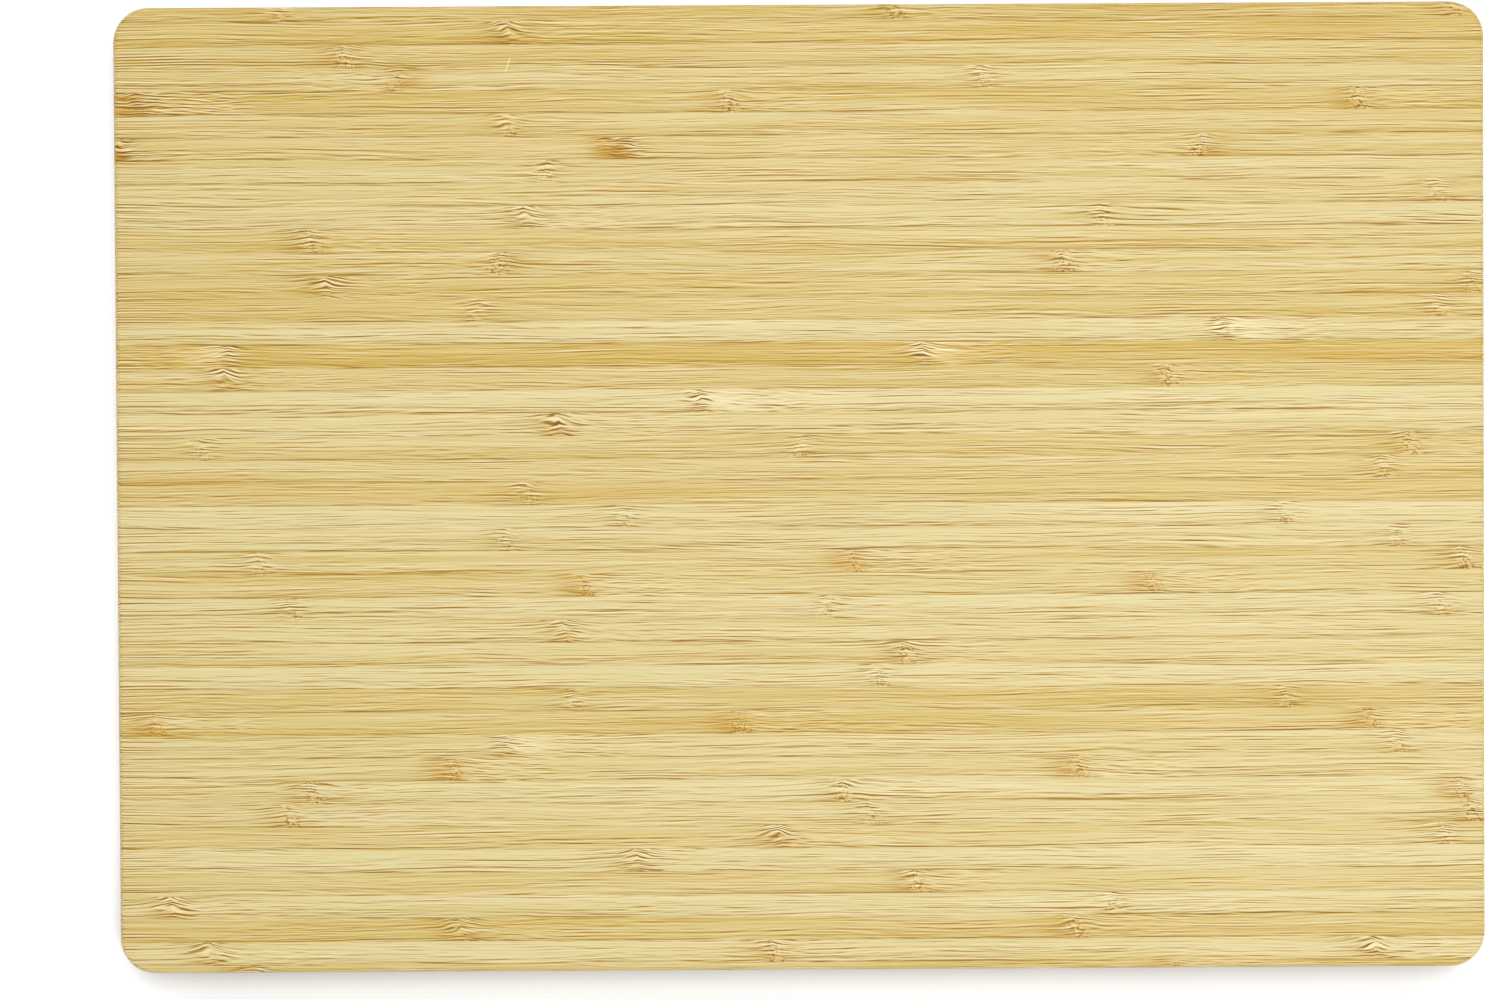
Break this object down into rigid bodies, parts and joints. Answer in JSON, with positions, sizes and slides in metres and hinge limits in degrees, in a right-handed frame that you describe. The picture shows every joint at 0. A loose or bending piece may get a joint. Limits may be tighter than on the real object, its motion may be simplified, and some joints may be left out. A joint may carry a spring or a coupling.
{
  "type": "cutting board",
  "caption": "Rectangular kitchen cutting board, a single layer of upright bamboo strips edge-glued side by side, with rounded corners and softly rounded rims, flat and plain on both faces.",
  "frame": {"origin": "middle of the underside, on the plane the board rests on", "axes": "+X along the grain (the long side), +Y across the strips, towards the strip_01 edge, +Z out of the working face"},
  "size_m": [0.4318, 0.3048, 0.0191],
  "materials": {
    "bamboo_pale": "smooth sanded bamboo, lightly oiled, pale straw",
    "bamboo_straw": "smooth sanded bamboo, lightly oiled, straw yellow",
    "bamboo_honey": "smooth sanded bamboo, lightly oiled, honey",
    "glue": "cured amber-brown wood glue, sanded flush"
  },
  "bodies": {
    "root": {"strip_01": "bamboo_honey", "strip_02": "bamboo_honey", "strip_03": "bamboo_straw", "strip_04": "bamboo_straw", "strip_05": "bamboo_honey", "strip_06": "bamboo_straw", "strip_07": "bamboo_straw", "strip_08": "bamboo_straw", "strip_09": "bamboo_straw", "strip_10": "bamboo_pale", "strip_11": "bamboo_straw", "strip_12": "bamboo_straw", "strip_13": "bamboo_honey", "strip_14": "bamboo_straw", "strip_15": "bamboo_pale", "strip_16": "bamboo_honey", "strip_17": "bamboo_straw", "strip_18": "bamboo_pale", "strip_19": "bamboo_pale", "strip_20": "bamboo_straw", "strip_21": "bamboo_straw", "strip_22": "bamboo_honey", "strip_23": "bamboo_pale", "strip_24": "bamboo_pale", "strip_25": "bamboo_straw", "strip_26": "bamboo_straw", "strip_27": "bamboo_pale", "strip_28": "bamboo_pale", "strip_29": "bamboo_straw", "strip_30": "bamboo_pale", "strip_31": "bamboo_honey", "strip_32": "bamboo_honey", "strip_33": "bamboo_pale", "strip_34": "bamboo_straw", "strip_35": "bamboo_pale", "strip_36": "bamboo_pale", "strip_37": "bamboo_straw", "strip_38": "bamboo_pale", "strip_39": "bamboo_straw", "strip_40": "bamboo_pale", "strip_41": "bamboo_straw", "strip_42": "bamboo_pale", "strip_43": "bamboo_honey", "glue_lines": "glue"}
  },
  "joints": []
}
